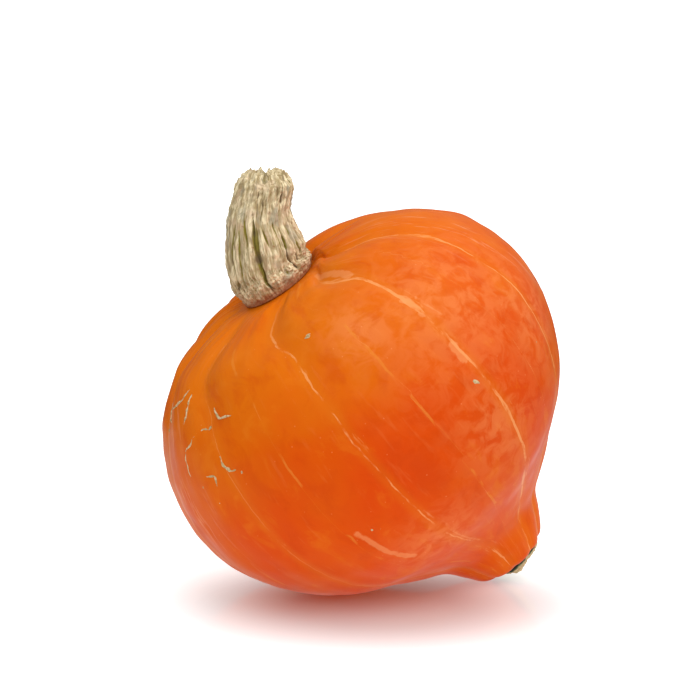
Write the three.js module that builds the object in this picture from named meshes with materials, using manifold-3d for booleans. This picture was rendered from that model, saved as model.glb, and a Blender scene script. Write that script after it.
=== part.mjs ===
// A teardrop-shaped orange winter squash with a corky stem, lying on its side.
//
// It lies as such a squash does when it is put down: on its belly and on the underside of its pointed
// blossom end, with the stem up. Everything is in millimetres, +Z is up, the surface that it lies on is
// z = 0, and the origin is the middle of the small flat spot under the belly. Seen from above, the
// fruit's own axis runs along +X, from the stem to the blossom end.
//
// Three pieces grew on this fruit, and each is a solid of its own:
//   fruit         rind and flesh in one, with ten shallow lobes and healed corky scratches
//   stem          the thick corky stalk, with its fissures and its torn, two-lumped end
//   blossom_scar  the crust where the flower stood, with a raised corky button

import * as THREE from "three";
import { mergeVertices } from "three/addons/utils/BufferGeometryUtils.js";
import Module from "manifold-3d";

const degrees = THREE.MathUtils.degToRad;

// Driving dimensions of the fruit
const LIE_ANGLE = degrees(47.1); // how far the blossom end points down
const BELLY_FLAT_DEPTH = 1; // how much of the belly's roundness the flat spot takes
const FURROW_DEPTH = 2.3; // beside the stem, where the furrows are deepest
const FURROW_WIDTH = degrees(7.2); // to each side of a furrow's bottom
const AROUND = 80; // facets round the fruit, eight to a lobe
const ALONG = 48; // rings between the stem's seat and the blossom scar's

// The furrows between the ten lobes, as turns round the fruit's axis. They aren't quite evenly spaced.
const FURROW_TURNS = [2, 39, 74, 110, 147, 183, 218.5, 254, 290, 319.5].map(degrees);

// Near the stem the furrows lean sideways, because the stem sits off the middle.
const LEAN = degrees(22);
const LEAN_ABOUT = degrees(240);

// Rings of the fruit, from the stem's seat to the blossom scar's. The fruit grew lopsided, so the
// rings' centres wander: "over" is to the side that ends up on top, and "side" is square to that.
// "tilt" is how much a ring drops towards "over" for each millimetre.
const RINGS = [
  { height: 8.2, radius: 15.5, over: 17.5, side: 9, tilt: 0.14 },
  { height: 10.6, radius: 24, over: 12.5, side: 6, tilt: 0.1 },
  { height: 10, radius: 34.6, over: 4, side: 3.5, tilt: 0.04 },
  { height: 8, radius: 42.5, over: 3.2, side: 1.5, tilt: 0 },
  { height: 4.1, radius: 52.3, over: 6.8, side: 0.5, tilt: 0 },
  { height: -3.5, radius: 63, over: 8.2, side: 0, tilt: 0 },
  { height: -14.4, radius: 72.4, over: 9.1, side: 0, tilt: 0 },
  { height: -27.4, radius: 78.4, over: 9.6, side: 0, tilt: 0 },
  { height: -42.2, radius: 81.1, over: 9.7, side: 0, tilt: 0 },
  { height: -57.2, radius: 79.2, over: 9.6, side: 0, tilt: 0 },
  { height: -72.1, radius: 73.1, over: 9.7, side: 0, tilt: 0 },
  { height: -86.1, radius: 62.3, over: 10.2, side: 0, tilt: 0 },
  { height: -98, radius: 45.9, over: 10.8, side: -1.5, tilt: 0 },
  { height: -106, radius: 34.7, over: 11.2, side: -3.2, tilt: 0 },
  { height: -113.2, radius: 25.6, over: 10.9, side: -4.2, tilt: 0 },
  { height: -121.2, radius: 20.4, over: 10.6, side: -4.9, tilt: 0 },
  { height: -127.9, radius: 16, over: 9.9, side: -5.1, tilt: 0.03 },
  { height: -129.8, radius: 11.8, over: 12, side: -4.4, tilt: -0.04 },
];
const LAST_RING = RINGS.length - 1;
const NECK_FROM = 12; // the place in the list where the belly ends

// Healed corky scratches on the flank, each as points of [turn in degrees, place in the list of rings].
const SCRATCHES = [
  [[215.8, 4.09], [218.2, 4.42], [225, 4.58]],
  [[212.2, 4.63], [202.5, 4.76], [196.5, 5.26], [197.8, 5.76]],
  [[214.5, 5.49], [216.8, 5.88], [219.8, 5.99]],
  [[196.5, 2.7], [188.2, 3.39], [169.2, 4.1]],
  [[199, 2.92], [197, 3.85], [195, 4.32]],
  [[206.2, 5.85], [210.2, 5.92], [209.8, 6.18]],
];
const SCRATCH_PROUD = 0.45;
const SCRATCH_HALF_WIDTH = 0.9;
const SCRATCH_AROUND = 8;
const SCRATCH_ALONG = 8;

// Driving dimensions of the stem
const SEAT_GAP = 0.3; // between pieces that touch
const STEM_RIDGES = 13;
const FISSURE_DEPTH = 1.2;
const NOTCH_DEPTH = 1.8; // the split between the two lumps at the torn end
const NOTCH_TURN = degrees(254);
const STEM_AROUND = 78; // six facets to a ridge
const STEM_ALONG = 22;

// The stem's rings, up from the middle of its seat. It leaves the fruit at a slant and then stands up,
// so "tilt", in degrees, is how far each ring still leans with the seat.
const STEM_RINGS = [
  { x: 0, y: 0, z: 0, radius: 14.7, tilt: -34.5 },
  { x: -2.1, y: 0, z: 4, radius: 16, tilt: -29 },
  { x: -3.9, y: 0.1, z: 7.4, radius: 15.8, tilt: -23 },
  { x: -5.1, y: 0.4, z: 14.6, radius: 15.1, tilt: -10 },
  { x: -6.7, y: 0.7, z: 23.6, radius: 12.7, tilt: -2 },
  { x: -6.2, y: 1, z: 30.8, radius: 11.2, tilt: 0 },
  { x: -5, y: 1.2, z: 37, radius: 10.6, tilt: 0 },
  { x: -4.8, y: 1.2, z: 40.8, radius: 8.4, tilt: 0 },
];

// Driving dimensions of the blossom scar
const SCAR_RADIUS = 11;
const SCAR_THICKNESS = 1.5;
const BUTTON_RADIUS = 6.3;
const BUTTON_HEIGHT = 4.2;
const SCAR_AROUND = 48;

const wasm = await Module();
wasm.setup();

// A number on the smooth curve through a list of numbers, with "at" counted in places of the list.
function curveThrough(values, at) {
  const last = values.length - 1;
  const i = Math.min(Math.floor(at), last - 1);
  const f = at - i;
  const p1 = values[i];
  const p2 = values[i + 1];
  const p0 = i > 0 ? values[i - 1] : 2 * p1 - p2;
  const p3 = i + 2 <= last ? values[i + 2] : 2 * p2 - p1;
  const slope = (p2 - p0) * f;
  const bend = (2 * p0 - 5 * p1 + 4 * p2 - p3) * f ** 2;
  const twist = (3 * p1 - p0 - 3 * p2 + p3) * f ** 3;
  return 0.5 * (2 * p1 + slope + bend + twist);
}

function ringAt(rings, at) {
  const ring = {};
  for (const key of Object.keys(rings[0])) {
    const values = rings.map((r) => r[key]);
    ring[key] = curveThrough(values, at);
  }
  return ring;
}

function bump(value, middle, width) {
  return Math.exp(-(((value - middle) / width) ** 2));
}

// Furrows run from pole to pole: deep by the stem, faint over the belly, clearer again on the neck.
function furrow(turn, at) {
  const leaning = turn - LEAN * bump(at, 1, 4.2) * Math.sin(turn - LEAN_ABOUT);
  let nearest = Math.PI;
  for (const furrowTurn of FURROW_TURNS) {
    const difference = Math.abs(leaning - furrowTurn) % (2 * Math.PI);
    nearest = Math.min(nearest, difference, 2 * Math.PI - difference);
  }
  const depth = FURROW_DEPTH * (0.12 + 0.88 * bump(at, 2.2, 2.6) + 0.2 * bump(at, 14.5, 2));
  return depth * bump(nearest, 0, FURROW_WIDTH);
}

// Slow swellings and dents, because no squash is as round as if turned on a lathe.
function unevenness(turn, at) {
  const fade = Math.sin((Math.PI * at) / LAST_RING);
  const oval = 0.5 * Math.sin(2 * turn + 0.5 * at);
  const triple = 0.35 * Math.sin(3 * turn - 0.8 * at + 1);
  const fine = 0.25 * Math.sin(5 * turn + 1.1 * at + 2);
  return fade * (oval + triple + fine);
}

// A point of the rind in the fruit's own frame: +X over, +Y side, +Z towards the stem. Lobes and
// dents push it along the smooth shape's normal, and the rims of the two seats stay as they are.
function rindPoint(turn, at) {
  const ring = ringAt(RINGS, at);
  const before = ringAt(RINGS, Math.max(0, at - 0.01));
  const after = ringAt(RINGS, Math.min(LAST_RING, at + 0.01));
  const along = new THREE.Vector2(after.radius - before.radius, after.height - before.height);
  along.normalize();
  const fromRim = Math.min(1, at, LAST_RING - at);
  const push = fromRim * (unevenness(turn, at) - furrow(turn, at));
  const radius = ring.radius - push * along.y;
  const height = ring.height + push * along.x - ring.tilt * radius * Math.cos(turn);
  const over = ring.over + radius * Math.cos(turn);
  const side = ring.side + radius * Math.sin(turn);
  return new THREE.Vector3(over, side, height);
}

function ringOfPoints(count, pointAt) {
  return Array.from({ length: count }, (_, i) => pointAt((2 * Math.PI * i) / count));
}

// A closed geometry from rings of points. The rings go round counter-clockwise seen from the side
// that the first ring faces, and each end closes on a point.
function skin(rings, firstCentre, lastCentre) {
  const count = rings[0].length;
  const points = [firstCentre, ...rings.flat(), lastCentre];
  const place = (ring, i) => 1 + ring * count + (i % count);
  const end = points.length - 1;
  const index = [];
  for (let i = 0; i < count; i++) {
    index.push(0, place(0, i), place(0, i + 1));
    index.push(end, place(rings.length - 1, i + 1), place(rings.length - 1, i));
  }
  for (let ring = 0; ring < rings.length - 1; ring++) {
    for (let i = 0; i < count; i++) {
      const [a, b] = [place(ring, i), place(ring, i + 1)];
      const [c, d] = [place(ring + 1, i), place(ring + 1, i + 1)];
      index.push(a, c, b, b, c, d);
    }
  }
  const geometry = new THREE.BufferGeometry().setFromPoints(points);
  geometry.setIndex(index);
  return geometry;
}

function toSolid(geometry) {
  const bare = new THREE.BufferGeometry();
  bare.setAttribute("position", geometry.getAttribute("position"));
  bare.setIndex(geometry.index);
  const merged = mergeVertices(bare, 1e-4);
  const mesh = new wasm.Mesh({
    numProp: 3,
    vertProperties: new Float32Array(merged.attributes.position.array),
    triVerts: new Uint32Array(merged.index.array),
  });
  return new wasm.Manifold(mesh);
}

function toGeometry(solid) {
  const { numVert, numProp, vertProperties, triVerts } = solid.getMesh();
  const position = new Float32Array(numVert * 3);
  for (let i = 0; i < numVert; i++) {
    position.set(vertProperties.subarray(i * numProp, i * numProp + 3), i * 3);
  }
  const geometry = new THREE.BufferGeometry();
  geometry.setAttribute("position", new THREE.BufferAttribute(position, 3));
  geometry.setIndex(new THREE.BufferAttribute(new Uint32Array(triVerts), 1));
  geometry.computeVertexNormals();
  return geometry;
}

function makeRind() {
  const rings = [];
  for (let k = 0; k <= ALONG; k++) {
    const at = (LAST_RING * k) / ALONG;
    rings.push(ringOfPoints(AROUND, (turn) => rindPoint(turn, at)));
  }
  const centreOf = (ring) => new THREE.Vector3(ring.over, ring.side, ring.height);
  return skin(rings, centreOf(RINGS[0]), centreOf(RINGS[LAST_RING]));
}

// A scratch healed to a low corky ridge. It is an oval cord that rides half sunk in the rind and
// dives under it at both ends.
function makeScratch(path) {
  const turns = path.map(([turn]) => degrees(turn));
  const places = path.map(([, place]) => place);
  const rindAlong = (share) => {
    const at = share * (path.length - 1);
    return rindPoint(curveThrough(turns, at), curveThrough(places, at));
  };
  const rings = [];
  const centres = [];
  for (let k = 0; k <= SCRATCH_ALONG; k++) {
    const share = k / SCRATCH_ALONG;
    const ahead = rindAlong(Math.min(1, share + 0.02)).sub(rindAlong(Math.max(0, share - 0.02)));
    ahead.normalize();
    const point = rindAlong(share);
    const axis = new THREE.Vector3(RINGS[7].over, 0, point.z - 20); // a point well inside the fruit
    const out = point.clone().sub(axis);
    out.addScaledVector(ahead, -out.dot(ahead)).normalize();
    const across = new THREE.Vector3().crossVectors(ahead, out);
    const sunk = 1 - SCRATCH_PROUD * Math.sqrt(Math.sin(Math.PI * share));
    const centre = point.addScaledVector(out, -sunk);
    centres.push(centre);
    rings.push(
      ringOfPoints(SCRATCH_AROUND, (angle) =>
        centre
          .clone()
          .addScaledVector(across, SCRATCH_HALF_WIDTH * Math.cos(angle))
          .addScaledVector(out, Math.sin(angle)),
      ),
    );
  }
  return skin(rings, centres[0], centres[SCRATCH_ALONG]);
}

// The fruit lies down by a turn about Y: its own +Z goes to the upper left, its +X to the upper right.
const seatTilt = LIE_ANGLE - Math.PI / 2;
const lieDown = new THREE.Matrix4().makeRotationY(seatTilt);

// The origin goes under the belly's lowest point, less what the flat spot takes off.
function findBellyPoint() {
  const lowest = new THREE.Vector3(0, 0, Infinity);
  for (let at = 0; at < NECK_FROM; at += 0.1) {
    const point = rindPoint(Math.PI, at).applyMatrix4(lieDown);
    if (point.z < lowest.z) lowest.copy(point);
  }
  return lowest;
}

const lowest = findBellyPoint();
const inPlace = new THREE.Matrix4()
  .makeTranslation(-lowest.x, -lowest.y, -lowest.z - BELLY_FLAT_DEPTH)
  .multiply(lieDown);

// Fruit
let fruitSolid = toSolid(makeRind().applyMatrix4(inPlace));
for (const path of SCRATCHES) {
  fruitSolid = fruitSolid.add(toSolid(makeScratch(path).applyMatrix4(inPlace)));
}
const surface = new THREE.BoxGeometry(400, 400, 50).translate(0, 0, -25);
fruitSolid = fruitSolid.subtract(toSolid(surface));

const rind = new THREE.MeshStandardMaterial({
  color: 0xe8640f,
  roughness: 0.42,
  metalness: 0,
});
const fruit = new THREE.Mesh(toGeometry(fruitSolid), rind);
fruit.name = "fruit";

// Stem
function stemFissure(turn, share) {
  const wander = 0.5 * Math.sin(3.1 * share + 2 * turn) + 0.9 * share;
  const wave = Math.abs(Math.sin((STEM_RIDGES * turn) / 2 + wander));
  const uneven = 0.7 + 0.3 * Math.sin(5 * turn + 1.3);
  const nearBase = THREE.MathUtils.smoothstep(share, 0, 0.12);
  return nearBase * FISSURE_DEPTH * uneven * (1 - wave ** 0.7);
}

function stemNotch(turn, share) {
  const deepening = THREE.MathUtils.smoothstep(share, 0.35, 1);
  return NOTCH_DEPTH * deepening * bump(turn, NOTCH_TURN, 0.22);
}

// The torn end stands in two lumps, and its edge is ragged.
function tornEnd(turn) {
  return 0.8 * Math.cos(2 * (turn - 0.1)) + 0.6 * Math.sin(7 * turn) + 0.3;
}

function makeStem() {
  const seat = new THREE.Vector3(RINGS[0].over, RINGS[0].side, RINGS[0].height + SEAT_GAP);
  seat.applyMatrix4(inPlace);
  const last = STEM_RINGS.length - 1;
  const rings = [];
  for (let k = 0; k <= STEM_ALONG; k++) {
    const share = k / STEM_ALONG;
    const ring = ringAt(STEM_RINGS, last * share);
    const lean = new THREE.Matrix4().makeRotationY(degrees(ring.tilt));
    const torn = THREE.MathUtils.smoothstep(share, 0.82, 1);
    const centre = seat.clone().add(new THREE.Vector3(ring.x, ring.y, ring.z));
    const pointAt = (turn) => {
      const radius = ring.radius - stemFissure(turn, share) - stemNotch(turn, share);
      const point = new THREE.Vector3(radius * Math.cos(turn), radius * Math.sin(turn), 0);
      point.applyMatrix4(lean).add(centre);
      point.z += torn * tornEnd(turn);
      return point;
    };
    rings.unshift(ringOfPoints(STEM_AROUND, pointAt));
  }
  const end = STEM_RINGS[last];
  const pith = seat.clone().add(new THREE.Vector3(end.x, end.y, end.z - 1.6));
  return skin(rings, pith, seat);
}

const cork = new THREE.MeshStandardMaterial({
  color: 0xb9a27a,
  roughness: 0.9,
  metalness: 0,
});
const stem = new THREE.Mesh(makeStem(), cork);
stem.geometry.computeVertexNormals();
stem.name = "stem";

// Blossom scar
function makeBlossomScar() {
  const profile = [
    { radius: SCAR_RADIUS * 0.96, height: 0 },
    { radius: SCAR_RADIUS, height: SCAR_THICKNESS * 0.5 },
    { radius: SCAR_RADIUS * 0.88, height: SCAR_THICKNESS },
    { radius: BUTTON_RADIUS * 1.2, height: SCAR_THICKNESS * 1.25 },
    { radius: BUTTON_RADIUS * 1.05, height: BUTTON_HEIGHT * 0.65 },
    { radius: BUTTON_RADIUS * 0.9, height: BUTTON_HEIGHT },
    { radius: BUTTON_RADIUS * 0.5, height: BUTTON_HEIGHT * 0.85 },
  ];
  const end = RINGS[LAST_RING];
  const place = (radius, turn, height) => {
    const over = radius * Math.cos(turn);
    const side = radius * Math.sin(turn);
    const seat = end.height - end.tilt * over;
    return new THREE.Vector3(end.over + over, end.side + side, seat - SEAT_GAP - height);
  };
  const rings = profile.map(({ radius, height }) =>
    ringOfPoints(SCAR_AROUND, (turn) => {
      const ragged = 1 + 0.04 * Math.sin(5 * turn) + 0.03 * Math.sin(11 * turn + 1);
      const lift = 1 + 0.15 * Math.sin(3 * turn + 2);
      return place(radius * ragged, turn, height * lift);
    }),
  );
  return skin(rings, place(0, 0, 0), place(0, 0, BUTTON_HEIGHT * 0.75));
}

// The crust's lower edge is worn flat where it touches what the squash lies on.
const crust = toSolid(makeBlossomScar().applyMatrix4(inPlace)).subtract(toSolid(surface));
const blossomScar = new THREE.Mesh(toGeometry(crust), cork);
blossomScar.name = "blossom_scar";

const squash = new THREE.Group();
squash.add(fruit, stem, blossomScar);

export default squash;
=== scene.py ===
# %% [markdown]
# A red kuri squash, lying on its side
#
# This lesson dresses a ready model of a teardrop-shaped orange winter squash. The model fixes every
# size. The steps below lay a smooth rind with its pale veins over the fruit, and give the stem and the
# blossom scar their cork. Then they light the squash as a small thing is lit on a white table.

# %% Load the fixed model
import math

import bpy
import numpy as np
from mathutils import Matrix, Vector


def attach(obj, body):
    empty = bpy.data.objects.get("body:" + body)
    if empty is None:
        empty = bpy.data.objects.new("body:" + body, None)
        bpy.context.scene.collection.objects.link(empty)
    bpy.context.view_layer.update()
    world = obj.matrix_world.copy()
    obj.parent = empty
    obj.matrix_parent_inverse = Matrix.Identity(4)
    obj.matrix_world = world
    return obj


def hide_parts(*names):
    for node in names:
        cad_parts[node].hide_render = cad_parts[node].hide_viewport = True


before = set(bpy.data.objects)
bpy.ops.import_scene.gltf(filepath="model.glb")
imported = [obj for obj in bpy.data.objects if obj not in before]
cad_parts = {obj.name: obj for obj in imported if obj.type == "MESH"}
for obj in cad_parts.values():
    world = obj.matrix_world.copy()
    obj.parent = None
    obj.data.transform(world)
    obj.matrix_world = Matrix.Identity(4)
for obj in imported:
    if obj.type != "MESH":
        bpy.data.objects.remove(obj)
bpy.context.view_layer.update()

MM = 0.001  # Blender works in metres, and this squash is described in millimetres
FULL_TURN = 2 * math.pi
print("pieces of the model:", sorted(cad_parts))

# %% [markdown]
# The form of the fruit
#
# A squash grows as rings round an axis, from the stem to the blossom end. It could be modelled by hand
# from a sphere with proportional editing, but then the veins and scars would have nothing to follow.
# Here a few rings, drawn through by a smooth curve, give every point of the rind two numbers: its turn
# round the axis, and its place along the list of rings. All that grows on the rind uses these two.

# %% Rings of the fruit
# Height on the fruit's own axis, radius, how far the middle wanders over and to the side, and how much
# the ring tilts, from the stem's seat to the blossom scar's, in millimetres
RINGS = np.array([
    (8.2, 15.5, 17.5, 9, 0.14),
    (10.6, 24, 12.5, 6, 0.1),
    (10, 34.6, 4, 3.5, 0.04),
    (8, 42.5, 3.2, 1.5, 0),
    (4.1, 52.3, 6.8, 0.5, 0),
    (-3.5, 63, 8.2, 0, 0),
    (-14.4, 72.4, 9.1, 0, 0),
    (-27.4, 78.4, 9.6, 0, 0),
    (-42.2, 81.1, 9.7, 0, 0),
    (-57.2, 79.2, 9.6, 0, 0),
    (-72.1, 73.1, 9.7, 0, 0),
    (-86.1, 62.3, 10.2, 0, 0),
    (-98, 45.9, 10.8, -1.5, 0),
    (-106, 34.7, 11.2, -3.2, 0),
    (-113.2, 25.6, 10.9, -4.2, 0),
    (-121.2, 20.4, 10.6, -4.9, 0),
    (-127.9, 16, 9.9, -5.1, 0.03),
    (-129.8, 11.8, 12, -4.4, -0.04),
])
HEIGHT, RADIUS, OVER, SIDE, TILT = range(5)
LAST_RING = len(RINGS) - 1
NECK_FROM = 12  # the ring where the belly ends
SMALL_STEP = 0.01  # along a curve, to see which way it runs


def smooth_through(rows, at):
    """The smooth curve through rows of numbers, with at counted in rows."""
    rows = np.asarray(rows, float)
    last = len(rows) - 1
    at = np.asarray(at, float)
    row = np.clip(np.floor(at).astype(int), 0, last - 1)
    step = (at - row)[..., None]
    padded = np.vstack([2 * rows[0] - rows[1], rows, 2 * rows[-1] - rows[-2]])
    p0, p1, p2, p3 = (padded[row + k] for k in range(4))
    slope = (p2 - p0) * step
    bend = (2 * p0 - 5 * p1 + 4 * p2 - p3) * step**2
    twist = (3 * p1 - p0 - 3 * p2 + p3) * step**3
    return 0.5 * (2 * p1 + slope + bend + twist)


def bump(value, middle, width):
    return np.exp(-(((value - middle) / width) ** 2))


def wrapped(turn, middle):
    """The turn from middle, between minus and plus half a turn."""
    return (turn - middle + math.pi) % FULL_TURN - math.pi


def ease(value, low, high):
    """0 below low, 1 above high, and smooth between."""
    share = np.clip((value - low) / (high - low), 0, 1)
    return share * share * (3 - 2 * share)


print(len(RINGS), "rings, the widest", 2 * RINGS[:, RADIUS].max(), "mm across")

# %% [markdown]
# Furrows and veins
#
# Ten shallow furrows part the lobes, and in each runs a pale vein. Halfway between them a fainter vein
# shows as broken dashes. Near the stem they all lean to one side, because the stem sits off the middle.

# %% Where the furrows and veins run
# Each furrow's turn in degrees, how pale its vein is and how wide, and how pale the fainter vein after it
FURROWS = [
    (2, 0.12, 1, 0.6), (39, 0.5, 1, 1), (74, 0.75, 1.2, 1), (110, 0.6, 1, 1), (147, 0.7, 1, 1),
    (183, 0.6, 1, 1), (218.5, 0.35, 0.7, 1), (254, 0.85, 1, 1), (290, 0.9, 2.2, 0), (319.5, 0.95, 1, 0),
]
FURROW_TURNS = np.radians([row[0] for row in FURROWS])
VEIN_PALENESS = np.array([row[1] for row in FURROWS])
VEIN_WIDTH = np.array([row[2] for row in FURROWS])
FAINT_PALENESS = np.array([row[3] for row in FURROWS])
FURROW_DEPTH = 2.3
FURROW_WIDTH = math.radians(7.2)
LEAN = math.radians(22)
LEAN_ABOUT = math.radians(240)
MIDDLE_TURNS = (FURROW_TURNS + np.append(FURROW_TURNS[1:], FURROW_TURNS[0] + FULL_TURN)) / 2


def leaning(turn, at):
    return turn - LEAN * bump(at, 1, 4.2) * np.sin(turn - LEAN_ABOUT)


def nearest(turn, turns):
    """Signed turn to the nearest of several, and which of them it is."""
    gaps = wrapped(turn[..., None], turns)
    which = np.abs(gaps).argmin(axis=-1)
    return np.take_along_axis(gaps, which[..., None], axis=-1)[..., 0], which


def furrow(turn, at):
    gap, _ = nearest(leaning(turn, at), FURROW_TURNS)
    depth = FURROW_DEPTH * (0.12 + 0.88 * bump(at, 2.2, 2.6) + 0.2 * bump(at, 14.5, 2))
    return depth * bump(gap, 0, FURROW_WIDTH)


def unevenness(turn, at):
    """Slow swellings and dents, because no squash is as round as if turned on a lathe."""
    fade = np.sin(math.pi * at / LAST_RING)
    oval = 0.5 * np.sin(2 * turn + 0.5 * at)
    triple = 0.35 * np.sin(3 * turn - 0.8 * at + 1)
    fine = 0.25 * np.sin(5 * turn + 1.1 * at + 2)
    return fade * (oval + triple + fine)


print(len(FURROWS), "furrows,", (FAINT_PALENESS > 0).sum(), "faint veins between them")

# %% [markdown]
# How the squash lies
#
# It rests on its belly and on the underside of its pointed end. The fruit's own frame is turned by one
# angle and dropped so that the belly's lowest point is pressed flat by a millimetre at the origin.

# %% Lay the fruit down
LIE_ANGLE = math.radians(47.1)
BELLY_FLAT_DEPTH = 1


def fruit_form(turn, at, lift=0):
    """Places on the rind in the fruit's own frame, lifted off it by some millimetres."""
    turn, at = np.broadcast_arrays(np.asarray(turn, float), np.asarray(at, float))
    ring = smooth_through(RINGS, at)
    before = smooth_through(RINGS, np.maximum(0, at - SMALL_STEP))
    after = smooth_through(RINGS, np.minimum(LAST_RING, at + SMALL_STEP))
    grows, climbs = after[..., RADIUS] - before[..., RADIUS], after[..., HEIGHT] - before[..., HEIGHT]
    length = np.hypot(grows, climbs)
    from_rim = np.minimum(1, np.minimum(at, LAST_RING - at))
    push = from_rim * (unevenness(turn, at) - furrow(turn, at)) + lift
    radius = ring[..., RADIUS] - push * climbs / length
    over = ring[..., OVER] + radius * np.cos(turn)
    side = ring[..., SIDE] + radius * np.sin(turn)
    height = ring[..., HEIGHT] + push * grows / length - ring[..., TILT] * radius * np.cos(turn)
    return np.stack([over, side, height], axis=-1)


def laid_down(places):
    over, side, height = np.moveaxis(places, -1, 0)
    x = over * math.sin(LIE_ANGLE) - height * math.cos(LIE_ANGLE)
    z = over * math.cos(LIE_ANGLE) + height * math.sin(LIE_ANGLE)
    return np.stack([x, side, z], axis=-1)


underside = laid_down(fruit_form(math.pi, np.arange(0, NECK_FROM, 0.1)))
lowest = underside[underside[:, 2].argmin()]
FRUIT_ORIGIN = np.array([-lowest[0], -lowest[1], -lowest[2] - BELLY_FLAT_DEPTH])


def on_rind(turn, at, lift=0):
    """Places on the rind of the lying squash, in metres."""
    return (laid_down(fruit_form(turn, at, lift)) + FRUIT_ORIGIN) * MM


print("the fruit's own origin lies at", FRUIT_ORIGIN.round(2), "mm")

# %% [markdown]
# The camera
#
# A long lens a good metre away sees the squash almost from its own height, so that it looks tall and
# the table nearly vanishes. The camera is set first, because every later look goes through it.

# %% Set the camera
CAMERA_AZIMUTH = math.radians(-15.055)
CAMERA_ELEVATION = math.radians(7.368)
CAMERA_DISTANCE = 1.1
LENS_MM = 151.3
AIM_RIGHT = 31.07 * MM  # the squash stands left of the picture's middle
AIM_UP = -5.47 * MM


def camera_axes(azimuth, elevation):
    """Unit vectors to the right of the picture, up in it, and back towards the camera."""
    flat, rise = math.cos(elevation), math.sin(elevation)
    right = Vector((math.cos(azimuth), math.sin(azimuth), 0))
    back = Vector((math.sin(azimuth) * flat, -math.cos(azimuth) * flat, rise))
    return right, back.cross(right), back


picture_right, picture_up, to_camera = camera_axes(CAMERA_AZIMUTH, CAMERA_ELEVATION)
fruit_middle = Vector(FRUIT_ORIGIN) * MM
aim = fruit_middle + picture_right * AIM_RIGHT + picture_up * AIM_UP
bpy.ops.object.camera_add(location=fruit_middle + to_camera * CAMERA_DISTANCE)
camera = bpy.context.object
camera.data.lens = LENS_MM
camera.rotation_euler = (camera.location - aim).to_track_quat("Z", "Y").to_euler()
bpy.context.scene.camera = camera
print("camera at", [round(value, 3) for value in camera.location])

# %% [markdown]
# A sheet that is rolled up
#
# The rind, the stem and the scar are each one skin that closes round an axis. Spinning a profile would
# make such a skin too, but with no clean pattern map. A grid from the Add menu has one, so each piece
# starts as a grid. It is rolled up by its form, welded along the seam and closed at its ends.

# %% Roll up, weld and close
WELD = 0.002 * MM


def corners(piece):
    places = np.empty(3 * len(piece.data.vertices))
    piece.data.vertices.foreach_get("co", places)
    return places.reshape(-1, 3)


def set_corners(piece, places):
    piece.data.vertices.foreach_set("co", np.ascontiguousarray(places, dtype=float).ravel())
    piece.data.update()


def rolled_sheet(name, around, along, form):
    """A grid rolled up by form(turn, share), where share runs from 0 at the first end to 1."""
    bpy.ops.object.select_all(action="DESELECT")
    bpy.ops.mesh.primitive_grid_add(x_subdivisions=around, y_subdivisions=along, size=1)
    piece = bpy.context.object
    piece.name = name
    piece.data.name = name
    flat = corners(piece)
    turn = FULL_TURN * (flat[:, 0] + 0.5)
    share = 0.5 - flat[:, 1]
    set_corners(piece, form(turn, share))
    return piece, turn, share


def store(piece, name, values):
    """Keeps one number or one vector for each corner, for the material to read."""
    values = np.asarray(values, float)
    kind = "FLOAT_VECTOR" if values.ndim == 2 else "FLOAT"
    kept = piece.data.attributes.new(name, kind, "POINT")
    kept.data.foreach_set("vector" if values.ndim == 2 else "value", values.ravel())


def close_up(piece):
    """Welds the seam, closes both ends and turns all faces outwards."""
    bpy.context.view_layer.objects.active = piece
    bpy.ops.object.mode_set(mode="EDIT")
    bpy.ops.mesh.select_all(action="SELECT")
    bpy.ops.mesh.remove_doubles(threshold=WELD)
    bpy.ops.mesh.select_all(action="SELECT")
    bpy.ops.mesh.fill_holes(sides=0)
    bpy.ops.mesh.select_all(action="SELECT")
    bpy.ops.mesh.normals_make_consistent(inside=False)
    bpy.ops.mesh.select_all(action="DESELECT")
    bpy.ops.object.mode_set(mode="OBJECT")
    bpy.ops.object.shade_smooth()
    print(piece.name, "has", len(piece.data.polygons), "faces")


def ripples(places, size, seed, waves=18):
    """Smooth random swellings, each about size across, mostly between -1 and 1."""
    random = np.random.default_rng(seed)
    ways = random.normal(size=(waves, places.shape[-1]))
    ways /= np.linalg.norm(ways, axis=1)[:, None]
    lengths = size * random.uniform(1.2, 2.4, waves)
    phases = random.uniform(0, FULL_TURN, waves)
    total = np.zeros(places.shape[:-1])
    for way, length, phase in zip(ways, lengths, phases):
        total += np.sin(FULL_TURN * (places @ way) / length + phase)
    return total / math.sqrt(waves)


# %% [markdown]
# The rind
#
# On the real squash this is a hard waxy skin, one piece with the flesh. Its large form is the model's.
# What is added here is what a hand feels: creases that fan out from the stem, a fine crease along every
# main vein, and soft dents.

# %% Fine relief of the rind
RIND_AROUND = 320
RIND_ALONG = 270
CREASE_HEIGHT = 0.22
CREASES = 26
VEIN_CREASE = 0.16
VEIN_CREASE_WIDTH = 1.3


def around_mm(gap, at):
    """A small turn as millimetres along the ring."""
    return gap * smooth_through(RINGS, at)[..., RADIUS]


def stem_creases(turn, at):
    lean = leaning(turn, at)
    broad = np.sin(CREASES * lean + 2.4 * np.sin(3 * lean + at) + 0.8 * at)
    thin = np.sin(1.7 * CREASES * lean + 3 * np.sin(2 * lean) - 1.1 * at)
    fade = ease(at, 0, 0.4) * bump(at, 0.6, 1.5)
    return CREASE_HEIGHT * fade * (0.7 * np.abs(broad) ** 1.6 + 0.4 * thin * np.abs(thin))


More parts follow.
